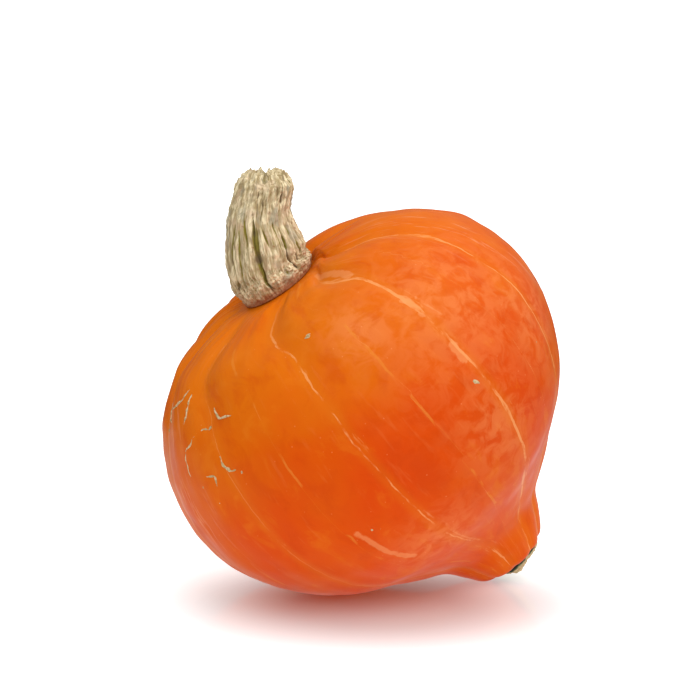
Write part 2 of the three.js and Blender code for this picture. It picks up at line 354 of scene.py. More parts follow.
def rind_relief(turn, at):
    """Millimetres that fine forms stand above the smooth rind."""
    gap, _ = nearest(leaning(turn, at), FURROW_TURNS)
    crease = VEIN_CREASE * bump(around_mm(gap, at), 0, VEIN_CREASE_WIDTH)
    places = fruit_form(turn, at)
    dents = 0.22 * ripples(places, 14, seed=3) + 0.09 * ripples(places, 6, seed=4)
    rims = ease(np.minimum(at, LAST_RING - at), 0, 0.5)
    return rims * (dents - crease) + stem_creases(turn, at)


def rind_form(turn, share):
    at = LAST_RING * share
    places = on_rind(turn, at, rind_relief(turn, at))
    places[:, 2] = np.maximum(places[:, 2], 0)
    return places


rind, rind_turn, rind_share = rolled_sheet("rind", RIND_AROUND, RIND_ALONG, rind_form)
rind_at = LAST_RING * rind_share
print("the rind has", len(rind_at), "corners before it is welded")

# %% [markdown]
# What the rind's material needs to know
#
# Veins must stay crisp at any distance, so they aren't drawn on the mesh. Each corner only keeps how
# many millimetres it is from the nearest vein, and the material draws the line. A second kept vector
# follows the rind like the grain of wood: two numbers go round, and the third runs along the fruit.

# %% Keep the distances to the veins, the grain and the ripeness
GRAIN_RADIUS = 60
RED_CHEEK = math.radians(262)


def length_along(at):
    """Millimetres along the rind from the stem's seat."""
    steps = np.linspace(0, LAST_RING, 400)
    rings = smooth_through(RINGS, steps)
    pieces = np.hypot(np.diff(rings[:, RADIUS]), np.diff(rings[:, HEIGHT]))
    return np.interp(at, steps, np.append(0, np.cumsum(pieces)))


lean = leaning(rind_turn, rind_at)
main_gap, main_which = nearest(lean, FURROW_TURNS)
faint_gap, faint_which = nearest(lean, MIDDLE_TURNS)
store(rind, "vein", around_mm(main_gap, rind_at))
store(rind, "faint_vein", around_mm(faint_gap, rind_at))
store(rind, "vein_paleness", VEIN_PALENESS[main_which] * ease(rind_at, 0.6, 3))
store(rind, "vein_width", VEIN_WIDTH[main_which] * (1 - 0.5 * ease(rind_at, 12.5, 14.5)))
store(rind, "faint_paleness", FAINT_PALENESS[faint_which])
grain = np.column_stack([
    GRAIN_RADIUS * np.cos(lean),
    GRAIN_RADIUS * np.sin(lean),
    length_along(rind_at),
])
store(rind, "grain", grain * MM)
store(rind, "along", rind_at / LAST_RING)

# Yellow round the stem, deep orange on the belly, red at the tip
ripeness = 0.05 + 0.35 * ease(rind_at, 2, 8) + 0.3 * ease(rind_at, 15.2, 16.8)
ripeness += 0.35 * bump(rind_at, 9, 3) * np.cos(rind_turn - RED_CHEEK)
store(rind, "ripeness", ripeness)
print("the grain runs", round(length_along(LAST_RING)), "mm from end to end")

# %% [markdown]
# Painted sheen, scuffs and painted glints
#
# Some marks belong to a place and not to a vein. On the upper right the rind has salmon blotches,
# a painted sheen where the soft lamp's reflection falls. Where it rubbed on the ground it has pale
# scuffs. Beside the stem, where the rind wrinkles, and along its two limbs, pinkish-white streaks are
# painted highlights. Each is kept as a number from 0 to 1, and the material gives it a ragged edge, so a
# few soft places are enough.

# %% Keep the painted sheen, the scuffs and the painted glints
# Painted sheen: turn in degrees, place in the rings, and how far it reaches in each
SHEEN_SPOTS = [
    (303, 6.5, 26, 2.2),
    (280, 5.1, 12, 1.3),
    (287, 9.4, 14, 1.4),
    (318, 8.2, 16, 2),
    (251, 10.8, 15, 1),
]
# Half width in millimetres, and the route as turn in degrees and place in the rings
SCUFFS = [
    (1.5, [(238.2, 8.95), (238.8, 9.25), (239.2, 9.79), (240, 10.3), (241.2, 10.67)]),
    (2.2, [(291.2, 7.21), (290.2, 7.59)]),
    (1.3, [(295, 5.5), (295, 5.56)]),
    (1.3, [(293.5, 6.1), (293.4, 6.16)]),
    (0.8, [(298, 5.73), (297.2, 6.12), (296.2, 6.65)]),
    (1.6, [(309.2, 1.2), (314, 2.24), (312.2, 2.83), (308.8, 3.27), (305, 3.62)]),
    (0.7, [(255, 9.59), (256.2, 10.17), (255.5, 11.24), (255.5, 12.6)]),
]
SCUFF_EDGE = 1.2
BESIDE_STEM = math.radians(345)
UPPER_LIMB = math.radians(342)
LEFT_LIMB = math.radians(180)


def off_route(turn, at, route):
    """Millimetres along the rind to the nearest point of a short route."""
    middle = math.radians(route[0][0])
    route_turn, route_at = np.array(route).T
    spot = np.column_stack([around_mm(wrapped(turn, middle), at), length_along(at)])
    stop_round = around_mm(np.radians(route_turn) - middle, route_at)
    stops = np.column_stack([stop_round, length_along(route_at)])
    off = np.full(len(spot), np.inf)
    for start, end in zip(stops[:-1], stops[1:]):
        way = end - start
        share = np.clip((spot - start) @ way / (way @ way), 0, 1)
        off = np.minimum(off, np.linalg.norm(spot - start - share[:, None] * way, axis=1))
    return off


# Painted sheen: how much salmon is painted where the lamp's soft reflection falls
painted_sheen = np.zeros_like(rind_at)
for turn_degrees, at, reach_round, reach_along in SHEEN_SPOTS:
    sideways = wrapped(rind_turn, math.radians(turn_degrees))
    here = bump(sideways, 0, math.radians(reach_round)) * bump(rind_at, at, reach_along)
    painted_sheen = np.maximum(painted_sheen, here)
store(rind, "painted_sheen", painted_sheen)

scuff = np.zeros_like(rind_at)
for half_width, route in SCUFFS:
    off = off_route(rind_turn, rind_at, route)
    scuff = np.maximum(scuff, 1 - ease(off, half_width - SCUFF_EDGE, half_width + SCUFF_EDGE))
store(rind, "scuff", scuff)

# Painted highlights: where pinkish-white streaks are painted beside the stem and along the upper and the
# left limb
beside_stem = bump(wrapped(rind_turn, BESIDE_STEM), 0, 0.6) * (1 - ease(rind_at, 1.7, 4.6))
upper_limb = bump(wrapped(rind_turn, UPPER_LIMB), 0, 0.3) * bump(rind_at, 6, 4)
left_limb = bump(wrapped(rind_turn, LEFT_LIMB), 0, 0.35) * bump(rind_at, 6, 4)
store(rind, "painted_glints", np.maximum(beside_stem, np.maximum(upper_limb, left_limb)))
close_up(rind)

# %% [markdown]
# Paints and nodes
#
# Colours are written as they are in paint programs, and one function turns them into light. One small
# function adds a node, sets it and links it, so that a material reads from top to bottom like a recipe.

# %% Paints and nodes


def paint(hex_colour):
    """An sRGB colour as linear light, and opaque."""
    parts = [int(hex_colour[k : k + 2], 16) / 255 for k in (0, 2, 4)]
    linear = [c / 12.92 if c <= 0.04045 else ((c + 0.055) / 1.055) ** 2.4 for c in parts]
    return (*linear, 1.0)


def add(tree, kind, inputs=None, **settings):
    """Adds a node, with its settings, and with values or links for its inputs."""
    node = tree.nodes.new("ShaderNode" + kind)
    for name, value in settings.items():
        setattr(node, name, value)
    for key, value in (inputs or {}).items():
        if isinstance(value, bpy.types.NodeSocket):
            tree.links.new(value, node.inputs[key])
        else:
            node.inputs[key].default_value = value
    return node


def new_material(name):
    """A material with only its output and a Principled shader that feeds it."""
    material = bpy.data.materials.new(name)
    material.use_nodes = True
    tree = material.node_tree
    tree.nodes.clear()
    shader = add(tree, "BsdfPrincipled")
    add(tree, "OutputMaterial", {"Surface": shader.outputs["BSDF"]})
    return material, tree, shader


def noise(tree, where, size_mm, detail=2.0, roughness=0.5, distortion=0.0):
    """Cloudy noise whose patches are about size_mm across, as a number near 0.5."""
    settings = {"Vector": where, "Scale": 1 / (size_mm * MM), "Detail": detail}
    settings.update({"Roughness": roughness, "Distortion": distortion})
    return add(tree, "TexNoise", settings).outputs["Fac"]


def between(tree, value, low, high, start=0.0, end=1.0):
    """start where value is below low, end above high, and smooth between."""
    inputs = {"Value": value, "From Min": low, "From Max": high, "To Min": start, "To Max": end}
    return add(tree, "MapRange", inputs, interpolation_type="SMOOTHSTEP").outputs["Result"]


def sums(tree, operation, first, second=0.0, third=0.0):
    inputs = {0: first, 1: second, 2: third}
    return add(tree, "Math", inputs, operation=operation).outputs["Value"]


def blend(tree, share, first, second):
    """The first colour, with as much of the second as share says."""
    return add(tree, "Mix", {0: share, 6: first, 7: second}, data_type="RGBA").outputs[2]


def kept(tree, name, output="Fac"):
    return add(tree, "Attribute", attribute_name=name).outputs[output]


def stretched(tree, vector, scale):
    """A pattern's coordinates, scaled on each axis."""
    return add(tree, "Mapping", {"Vector": vector, "Scale": scale}).outputs["Vector"]


def link_surface(tree, shader, colour, height, strength, depth_mm):
    """Gives the shader its colour, and hollows up to depth_mm deep where height is low."""
    tree.links.new(colour, shader.inputs["Base Color"])
    bump_node = add(tree, "Bump", {"Height": height, "Strength": strength, "Distance": depth_mm * MM})
    tree.links.new(bump_node.outputs["Normal"], shader.inputs["Normal"])


# %% [markdown]
# The rind's finish: a hard squash skin with a thin natural wax
#
# Under the wax the colour isn't even. It shifts from yellow-orange to red-orange over centimetres, it is
# mottled at the size of a fingertip, and fine pale streaks run with the grain. The veins are torn pale
# lines, now as thin as a thread, now a wide smear. The wax gives a broad, soft shine.

# %% Waxy squash rind


def ripe_colour(tree, where, grain):
    """Yellow-orange to red-orange, in wide clouds, mottles and streaks along the grain, with a painted
    sheen and painted highlight streaks.
    """
    clouds = noise(tree, where, 38, detail=3)
    shift = sums(tree, "MULTIPLY_ADD", clouds, 0.9, kept(tree, "ripeness"))
    redness = between(tree, shift, 0.3, 1.4)
    colour = blend(tree, redness, paint("D66C04"), paint("D14204"))
    mottles = noise(tree, stretched(tree, grain, (1, 1, 0.55)), 9, detail=5, roughness=0.62, distortion=0.6)
    colour = blend(tree, between(tree, mottles, 0.5, 0.68, 0, 0.3), colour, paint("C03A04"))
    colour = blend(tree, between(tree, mottles, 0.46, 0.3, 0, 0.3), colour, paint("DE7A18"))
    streaks = noise(tree, stretched(tree, grain, (1, 1, 0.12)), 2.2, detail=3, roughness=0.6)
    colour = blend(tree, between(tree, streaks, 0.58, 0.72, 0, 0.1), colour, paint("E48A4C"))

    # Painted sheen: salmon blotches where the soft lamp's reflection falls on the upper right
    blotches = noise(tree, where, 7, detail=4, roughness=0.6, distortion=0.8)
    salmon = sums(tree, "MULTIPLY", between(tree, blotches, 0.36, 0.62, 0.05, 0.5), kept(tree, "painted_sheen"))
    colour = blend(tree, salmon, colour, paint("E6864A"))

    # Painted highlights: pinkish-white streaks, glints as on wrinkles, fan out from the stem, and a few run
    # along the upper and the left flank
    glint_noise = noise(tree, stretched(tree, grain, (1, 1, 0.1)), 3, detail=4, roughness=0.7)
    painted_glints = sums(tree, "MULTIPLY", between(tree, glint_noise, 0.56, 0.66, 0, 0.45), kept(tree, "painted_glints"))
    return blend(tree, painted_glints, colour, paint("EAA67C"))


def vein_mask(tree, distance, wobble, width, tears, low, high):
    """1 on a wobbly torn line, 0 away from it."""
    off = sums(tree, "ABSOLUTE", sums(tree, "ADD", distance, wobble))
    line = between(tree, off, width, sums(tree, "MULTIPLY", width, 1.7), 1, 0)
    return sums(tree, "MULTIPLY", line, between(tree, tears, low, high))


def make_rind_wax():
    material, tree, shader = new_material("waxy_squash_rind")
    where = add(tree, "TexCoord").outputs["Object"]
    grain = kept(tree, "grain", "Vector")
    colour = ripe_colour(tree, where, grain)

    # Wobble in millimetres: a slow drift, and a quick tremble
    drift = sums(tree, "MULTIPLY_ADD", noise(tree, where, 18), 2.0, -1.0)
    tremble = sums(tree, "MULTIPLY_ADD", noise(tree, where, 3.2, detail=3), 1.1, -0.55)
    wobble = sums(tree, "ADD", drift, tremble)
    tears = noise(tree, stretched(tree, grain, (1, 1, 0.3)), 4, detail=4, roughness=0.65)
    patches = noise(tree, where, 21, detail=1)
    width = sums(tree, "MULTIPLY", between(tree, patches, 0.5, 0.72, 0.2, 0.7), kept(tree, "vein_width"))
    main = vein_mask(tree, kept(tree, "vein"), wobble, width, tears, 0.4, 0.56)
    main = sums(tree, "MULTIPLY", main, kept(tree, "vein_paleness"))

    # Splinters of paler skin lie beside a main vein, along the grain
    splinters = noise(tree, stretched(tree, grain, (1, 1, 0.13)), 1.3, detail=3, roughness=0.6)
    near_main = between(tree, sums(tree, "ABSOLUTE", kept(tree, "vein")), 5.5, 1.0)
    beside = sums(tree, "MULTIPLY", between(tree, splinters, 0.6, 0.68), near_main)
    beside = sums(tree, "MULTIPLY", beside, between(tree, patches, 0.48, 0.6))
    halo = sums(tree, "MULTIPLY", between(tree, sums(tree, "ABSOLUTE", kept(tree, "vein")), 4.0, 0.5), 0.22)

    dashes = noise(tree, stretched(tree, grain, (1, 1, 0.8)), 9, detail=2)
    faint = vein_mask(tree, kept(tree, "faint_vein"), wobble, 0.35, dashes, 0.52, 0.6)
    faint = sums(tree, "MULTIPLY", faint, kept(tree, "faint_paleness"))
    ragged = sums(tree, "MULTIPLY_ADD", noise(tree, where, 2.5, detail=4), 0.8, kept(tree, "scuff"))
    scuffed = between(tree, ragged, 0.92, 1.25, 0, 0.45)

    colour = blend(tree, halo, colour, paint("DA7614"))
    colour = blend(tree, sums(tree, "MULTIPLY", beside, 0.5), colour, paint("E89450"))
    colour = blend(tree, sums(tree, "MULTIPLY", faint, 0.45), colour, paint("DE8430"))
    colour = blend(tree, sums(tree, "MULTIPLY", main, 0.7), colour, paint("ECA062"))
    colour = blend(tree, scuffed, colour, paint("E8965C"))

    # Pinprick pores, pale on the ripe skin
    pores = add(tree, "TexVoronoi", {"Vector": where, "Scale": 1 / (3.4 * MM)}).outputs["Distance"]
    few = between(tree, noise(tree, where, 7), 0.5, 0.56)
    pore = sums(tree, "MULTIPLY", between(tree, pores, 0.1, 0.05), few)
    colour = blend(tree, sums(tree, "MULTIPLY", pore, 0.22), colour, paint("F0AC70"))

    tip = between(tree, kept(tree, "along"), 0.93, 0.99, 0, 0.7)
    colour = blend(tree, tip, colour, paint("B02C0C"))

    gloss = noise(tree, where, 12, detail=4)
    tree.links.new(between(tree, gloss, 0.3, 0.7, 0.3, 0.42), shader.inputs["Roughness"])
    shader.inputs["IOR"].default_value = 1.45
    shader.inputs["Specular IOR Level"].default_value = 0.05
    fine = noise(tree, where, 1.6, detail=3, roughness=0.6)
    relief = sums(tree, "MULTIPLY_ADD", main, 0.5, sums(tree, "MULTIPLY", fine, 0.5))
    link_surface(tree, shader, colour, relief, 0.25, 0.12)
    return material


def finish_piece(piece, material, slot, *nodes):
    """Gives a finished piece its material and its body, and hides the model's pieces that it stands for;
    the slot is not used.
    """
    piece.data.materials.clear()
    piece.data.materials.append(material)
    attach(piece, "root")
    if nodes:
        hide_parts(*nodes)


finish_piece(rind, make_rind_wax(), "rind", "fruit")
print("the rind is waxed")

# %% [markdown]
# The stem
#
# A squash stem dries to a hard ridged cork. It grows as strands side by side, which shrink apart as they
# dry, so deep fissures run up it and small cracks cross the crust. This one tore off in two lumps with a
# valley between them. Sculpting it by hand would take long, so it is a rolled sheet too, and the strands,
# fissures and crust are worked out in code.

# %% The stem's strands and torn end
# From the foot upwards, each ring's offset from the seat's middle, its radius and its lean in degrees
STEM_RINGS = np.array([
    (0, 0, 0, 14.7, -34.5),
    (-2.1, 0, 4, 16, -29),
    (-3.9, 0.1, 7.4, 15.8, -23),
    (-5.1, 0.4, 14.6, 15.1, -10),
    (-6.7, 0.7, 23.6, 12.7, -2),
    (-6.2, 1, 30.8, 11.2, 0),
    (-5, 1.2, 37, 10.6, 0),
    (-4.8, 1.2, 40.8, 8.4, 0),
])
STEM_SIDE = 0.82  # the share of the sheet that climbs the side, and the rest goes over the top
STEM_AROUND = 330
STEM_ALONG = 260
STEM_SKIN_RADIUS = 12  # its patterns are laid out on a round bar of this radius
STEM_LENGTH = 45
STEM_LENGTH_OVER_TOP = 52  # from the foot to the middle of the torn end
SEAT_GAP = 0.3
STRANDS = 13
NOTCH_TURN = math.radians(254)
KNOB_TURN = math.radians(338)
# The deep fissures, as turn at the foot and at the top, where they start and end, depth and width in mm
FISSURES = [
    (252, 232, 0.1, 0.66, 1.3, 0.42),
    (247, 243, 0.34, 0.54, 0.9, 1.0),
    (298, 272, 0.16, 0.55, 1.1, 0.4),
    (229, 224, 0.25, 0.7, 0.8, 0.35),
    (196, 205, 0.1, 0.55, 1.0, 0.45),
    (268, 250, 0.45, 0.75, 0.8, 0.35),
    (322, 300, 0.12, 0.5, 0.9, 0.4),
    (345, 330, 0.1, 0.7, 1.2, 0.5),
    (20, 12, 0.2, 0.9, 1.2, 0.5),
    (52, 47, 0.1, 0.75, 1.1, 0.45),
    (90, 82, 0.15, 0.95, 1.3, 0.5),
    (128, 120, 0.1, 0.7, 1.1, 0.45),
    (158, 152, 0.2, 0.85, 1.2, 0.5),
]


def stem_relief(turn, share):
    """Millimetres that the crust stands above the smooth rings, how deep in a crevice, how crusty."""
    height = STEM_LENGTH * share
    radius = smooth_through(STEM_RINGS, (len(STEM_RINGS) - 1) * share)[:, 3]
    skin = [STEM_SKIN_RADIUS * np.cos(turn), STEM_SKIN_RADIUS * np.sin(turn)]
    threads = np.column_stack([*skin, height / 7])
    knobs = np.column_stack([*skin, height / 1.6])
    drift = 0.8 * ripples(np.column_stack([*skin, height / 2]), 9, seed=10)
    wander = 0.5 * np.sin(3.1 * share + 2 * turn) + 0.9 * share
    strand = 1 - np.abs(np.sin(STRANDS * turn / 2 + wander + 0.4 * drift)) ** 0.7
    cord = 1 - np.abs(np.sin(3 * (STRANDS * turn / 2 + wander) + 1.6 * drift)) ** 0.8
    thread = ripples(threads, 0.9, seed=11, waves=40)
    crust = np.tanh(2.5 * ripples(knobs, 1.9, seed=13, waves=36))
    grit = ripples(knobs, 0.65, seed=14, waves=40)
    broken = ease(ripples(knobs, 4.5, seed=15), -0.6, 0.5)
    whole = ease(ripples(knobs, 3.2, seed=16), -0.7, 0.4)
    fissure = np.zeros_like(turn)
    for foot, top, start, end, depth, width in FISSURES:
        middle = np.radians(foot + (top - foot) * share) + 0.04 * np.sin(23 * share + foot)
        length = ease(share, start - 0.06, start + 0.06) * (1 - ease(share, end - 0.08, end + 0.05))
        ragged = 1 + 0.5 * ripples(knobs, 2.2, seed=int(foot))
        across = wrapped(turn, middle) * radius
        fissure = np.maximum(fissure, depth * length * bump(across, 0, width * ragged))
    rim = ease(share, 0, 0.035)
    groove = rim * (0.6 * broken * strand + 0.42 * whole * cord)
    stands = 0.24 * thread + 0.2 * crust + 0.13 * grit
    # How deep each point lies in a fissure or groove, which the material darkens as painted shade
    dark = 0.75 * fissure + 0.6 * broken * strand**3 + 0.5 * whole * cord**4
    crevice = np.clip(1.15 * dark - 0.2 * crust - 0.14, 0, 1)
    return rim * (stands - 0.05) - groove - fissure, crevice, crust


def stem_knob(turn, share):
    """The swollen right-hand lump of the torn end, and the waist under it."""
    facing = bump(wrapped(turn, KNOB_TURN), 0, 0.6)
    return facing * (0.4 * bump(share, 0.84, 0.1) - 0.8 * bump(share, 0.66, 0.035))


stem_skin = {}  # what the stem's material needs to know, filled in as the form is worked out


def stem_form(turn, share):
    side = np.clip(share / STEM_SIDE, 0, 1)
    over_top = np.clip((share - STEM_SIDE) / (1 - STEM_SIDE), 0, 1)
    ring = smooth_through(STEM_RINGS, (len(STEM_RINGS) - 1) * side)
    x, y, z, radius, lean_degrees = np.moveaxis(ring, -1, 0)
    relief, crevice, crust = stem_relief(turn, side)
    deepening = ease(side, 0.35, 1)
    notch = 1.3 * deepening * bump(wrapped(turn, NOTCH_TURN), 0, 0.12)
    radius = (radius + relief + stem_knob(turn, side) - notch) * (1 - over_top) + 0.05
    out_x, out_y = radius * np.cos(turn), radius * np.sin(turn)
    tilt = np.radians(lean_degrees)
    torn = ease(side, 0.82, 1)
    tops = torn * (0.8 * np.cos(2 * (turn - 0.1)) + 0.3) * (1 - over_top)
    valley = np.abs(out_x * math.sin(NOTCH_TURN) - out_y * math.cos(NOTCH_TURN))
    flat = np.column_stack([out_x, out_y])
    shreds = ease(side, 0.86, 1) * (0.55 * ripples(flat, 1.1, seed=21) + 0.4 * ripples(flat, 2.4, seed=22))
    dome = 2.3 * np.sin(over_top * math.pi / 2) - 1.6 * bump(valley, 0, 0.9) * ease(side, 0.9, 1)
    place = np.column_stack([
        x + out_x * np.cos(tilt),
        y + out_y,
        z - out_x * np.sin(tilt) + tops + shreds + dome,
    ])
    seat = np.array([[RINGS[0][OVER], RINGS[0][SIDE], RINGS[0][HEIGHT] + SEAT_GAP]])
    # The valley between the torn lumps is darkened too, as painted shade
    stem_skin["crevice"] = np.clip(crevice + 0.3 * torn * bump(valley, 0, 0.8), 0, 1)
    stem_skin["crust"] = crust
    return (laid_down(seat) + FRUIT_ORIGIN + place) * MM


stem, stem_turn, stem_share = rolled_sheet("corky_stem", STEM_AROUND, STEM_ALONG, stem_form)
store(stem, "crevice", stem_skin["crevice"])
store(stem, "crust", stem_skin["crust"])
store(stem, "up", stem_share)
strand_grain = np.column_stack([
    STEM_SKIN_RADIUS * np.cos(stem_turn),
    STEM_SKIN_RADIUS * np.sin(stem_turn),
    STEM_LENGTH_OVER_TOP * stem_share,
])
store(stem, "grain", strand_grain * MM)
close_up(stem)

# %% [markdown]
# The stem's finish: dry cork
#
# Weathered cork is cream on the strands and olive in the fissures, where the green of the living stem
# lasts longest. The fissures, the hollows of the crust and the valley of the torn end are also painted
# darker the deeper they lie, down to near black, as painted shade, and the raised fibres are painted
# palest, partly the cork's streaks and partly a painted highlight. Towards the foot it browns, and the
# lowest rim, next to the rind, is reddish. Nothing on it shines.

# %% Dry stem cork


def make_stem_cork():
    material, tree, shader = new_material("dry_stem_cork")
    where = add(tree, "TexCoord").outputs["Object"]
    grain = kept(tree, "grain", "Vector")
    crevice = kept(tree, "crevice")
    up = kept(tree, "up")
    fibres_and_highlights = noise(tree, stretched(tree, grain, (1, 1, 0.16)), 0.9, detail=4, roughness=0.65)
    flakes = noise(tree, stretched(tree, grain, (1, 1, 0.5)), 2.2, detail=5, roughness=0.7, distortion=0.8)
    # Cream on the raised fibres and tan between them: the cork's own streaks, and partly a painted
    # highlight on the raised ones
    colour = blend(tree, between(tree, fibres_and_highlights, 0.38, 0.62), paint("A9946A"), paint("EDDDB6"))
    # Darker tan in the hollows of the crust: painted shade
    colour = blend(tree, between(tree, kept(tree, "crust"), -0.2, -0.9, 0, 0.5), colour, paint("9A8560"))
    colour = blend(tree, between(tree, flakes, 0.52, 0.66, 0, 0.65), colour, paint("91805F"))
    pinkish = noise(tree, where, 5, detail=3)
    colour = blend(tree, between(tree, pinkish, 0.5, 0.65, 0, 0.4), colour, paint("CDAE92"))
    greyish = noise(tree, stretched(tree, grain, (1, 1, 0.4)), 3.4, detail=3)
    colour = blend(tree, between(tree, greyish, 0.56, 0.66, 0, 0.5), colour, paint("8F8C7C"))
    # Olive in the fissures is the cork's own colour; darker the deeper, down to near black, is painted
    # shade
    olive = noise(tree, where, 9, detail=2)
    deep = blend(tree, between(tree, olive, 0.4, 0.54), paint("6E5C40"), paint("7F7426"))
    colour = blend(tree, between(tree, crevice, 0.1, 0.5, 0, 0.95), colour, deep)
    colour = blend(tree, between(tree, crevice, 0.75, 1.0, 0, 0.6), colour, paint("4A3E1C"))
    dashes = noise(tree, stretched(tree, grain, (1, 1, 0.35)), 1.2, detail=3)
    low = between(tree, up, 0.5, 0.15)
    dashed = sums(tree, "MULTIPLY", between(tree, dashes, 0.58, 0.66, 0, 0.7), low)
    colour = blend(tree, dashed, colour, paint("8A6A44"))
    foot = sums(tree, "ADD", up, sums(tree, "MULTIPLY_ADD", flakes, 0.16, -0.08))
    colour = blend(tree, between(tree, foot, 0.12, 0.04, 0, 0.4), colour, paint("A87848"))
    colour = blend(tree, between(tree, foot, 0.05, 0.015, 0, 0.75), colour, paint("94502A"))
    spots = noise(tree, where, 3.0, detail=2)
    colour = blend(tree, between(tree, spots, 0.69, 0.74, 0, 0.6), colour, paint("8A5A34"))
    shader.inputs["Roughness"].default_value = 0.9
    shader.inputs["Specular IOR Level"].default_value = 0.25
    rough = sums(tree, "ADD", fibres_and_highlights, sums(tree, "MULTIPLY", noise(tree, where, 0.5, detail=3), 0.5))
    link_surface(tree, shader, colour, rough, 0.7, 0.35)
    return material


finish_piece(stem, make_stem_cork(), "stem_cork", "stem")
print("the stem is corked")

# %% [markdown]
# The blossom scar
#
# Where the flower fell off, a thin crust closed over the tip. Its edge is a blackish-green ring of dead
# rind. Inside it a tan crust rises to a raised button with a curled rim and a dark pit.

# %% The scar's crust and button
SCAR_RADIUS = 11
SCAR_THICKNESS = 1.5
BUTTON_RADIUS = 6.3
BUTTON_HEIGHT = 4.2
SCAR_AROUND = 180
SCAR_ALONG = 90
# The crust's section from its hidden edge to its middle: radius and height above the seat
SCAR_SECTION = np.array([
    (SCAR_RADIUS * 0.97, 0),
    (SCAR_RADIUS, SCAR_THICKNESS * 0.3),
    (SCAR_RADIUS * 0.96, SCAR_THICKNESS * 0.65),
    (SCAR_RADIUS * 0.91, SCAR_THICKNESS),
    (SCAR_RADIUS * 0.84, SCAR_THICKNESS * 1.6),
    (BUTTON_RADIUS * 1.3, SCAR_THICKNESS * 2.1),
    (BUTTON_RADIUS * 1.14, BUTTON_HEIGHT * 0.92),
    (BUTTON_RADIUS * 0.95, BUTTON_HEIGHT),
    (BUTTON_RADIUS * 0.62, BUTTON_HEIGHT * 0.92),
    (BUTTON_RADIUS * 0.3, BUTTON_HEIGHT * 0.7),
    (0.05, BUTTON_HEIGHT * 0.62),
])


def scar_form(turn, share):
    section = smooth_through(SCAR_SECTION, (len(SCAR_SECTION) - 1) * share)
    radius, height = section[:, 0], section[:, 1]
    ragged = 1 + 0.04 * np.sin(5 * turn) + 0.03 * np.sin(11 * turn + 1)
    lift = 1 + 0.15 * np.sin(3 * turn + 2)
    flat = np.column_stack([radius * np.cos(turn), radius * np.sin(turn)])
    loose = ease(share, 0.15, 0.35)
    flakes = loose * (0.22 * ripples(flat, 1.6, seed=31) + 0.1 * ripples(flat, 0.8, seed=32))
    over = radius * ragged * np.cos(turn)
    side = RINGS[-1][SIDE] + radius * ragged * np.sin(turn)
    drop = RINGS[-1][HEIGHT] - RINGS[-1][TILT] * over - SEAT_GAP - height * lift - flakes
    over = over + RINGS[-1][OVER]
    return (laid_down(np.column_stack([over, side, drop])) + FRUIT_ORIGIN) * MM


scar, _, scar_share = rolled_sheet("blossom_crust", SCAR_AROUND, SCAR_ALONG, scar_form)
store(scar, "inwards", scar_share)
close_up(scar)

# %% [markdown]
# The scar's finish: dry crust with a dead rim
#
# The ring is nearly black where it meets the rind and turns green and then tan within two millimetres,
# with an uneven edge. The pit in the button is brown.

# %% Blossom scar crust


def make_scar_crust():
    material, tree, shader = new_material("blossom_scar_crust")
    where = add(tree, "TexCoord").outputs["Object"]
    flecks = noise(tree, where, 1.6, detail=4, roughness=0.65)
    wide = noise(tree, where, 4, detail=2)
    tan = blend(tree, between(tree, flecks, 0.38, 0.62), paint("A8895E"), paint("D2BC92"))
    tan = blend(tree, between(tree, wide, 0.5, 0.62, 0, 0.5), tan, paint("9A9A72"))
    edge = sums(tree, "ADD", kept(tree, "inwards"), sums(tree, "MULTIPLY_ADD", wide, 0.2, -0.1))
    colour = blend(tree, between(tree, edge, 0.24, 0.36), paint("4A5630"), tan)
    colour = blend(tree, between(tree, edge, 0.24, 0.14, 0, 0.9), colour, paint("14180E"))
    colour = blend(tree, between(tree, edge, 0.84, 0.92, 0, 0.9), colour, paint("4A3820"))
    shader.inputs["Roughness"].default_value = 0.85
    shader.inputs["Specular IOR Level"].default_value = 0.3
    link_surface(tree, shader, colour, flecks, 0.6, 0.3)
    return material


finish_piece(scar, make_scar_crust(), "scar_cork", "blossom_scar")
print("the scar is dressed")

# %% [markdown]
# Healed scratches and specks
#
# The flank was scratched while the fruit grew, and each scratch healed to a low tan ridge of cork. They
# stand out of the wax, so they are real forms and no paint: thin rolled sheets, half sunk in the rind,
# that thin out and dive under it at both ends.

# %% Ridges of cork on the flank
# Each scratch as points of turn in degrees and place in the rings, with its half width in millimetres
SCRATCHES = {
    "hook": (0.42, [(215.6, 3.98), (215.9, 4.2), (218.2, 4.42), (221.6, 4.5), (225, 4.55)]),
    "bow": (0.5, [(212.2, 4.63), (208.2, 4.6), (202.5, 4.76), (199, 5), (196.5, 5.26), (197.8, 5.8)]),
    "arrow": (0.6, [(214.5, 5.49), (216.8, 5.88), (219.8, 5.99)]),
    "long": (0.4, [(196.5, 2.7), (188.2, 3.39), (178, 3.85)]),
    "edge": (0.4, [(172, 3.6), (176, 4.2), (180, 4.3)]),
    "short": (0.5, [(199, 2.92), (197, 3.85), (195, 4.32)]),
    "crook": (0.42, [(206.2, 5.85), (210.2, 5.92), (209.8, 6.18)]),
}
SCRATCH_AROUND = 12
SCRATCH_ALONG = 70
SCRATCH_PROUD = 0.3


def rind_axes(turn, at):
    """The place on the rind, and unit vectors outwards, at each of some turns and places."""
    place = on_rind(turn, at)
    round_way = on_rind(turn + SMALL_STEP, at) - place
    along_way = on_rind(turn, np.minimum(at + SMALL_STEP, LAST_RING)) - place
    out = np.cross(along_way, round_way)
    return place, out / np.linalg.norm(out, axis=-1)[..., None]


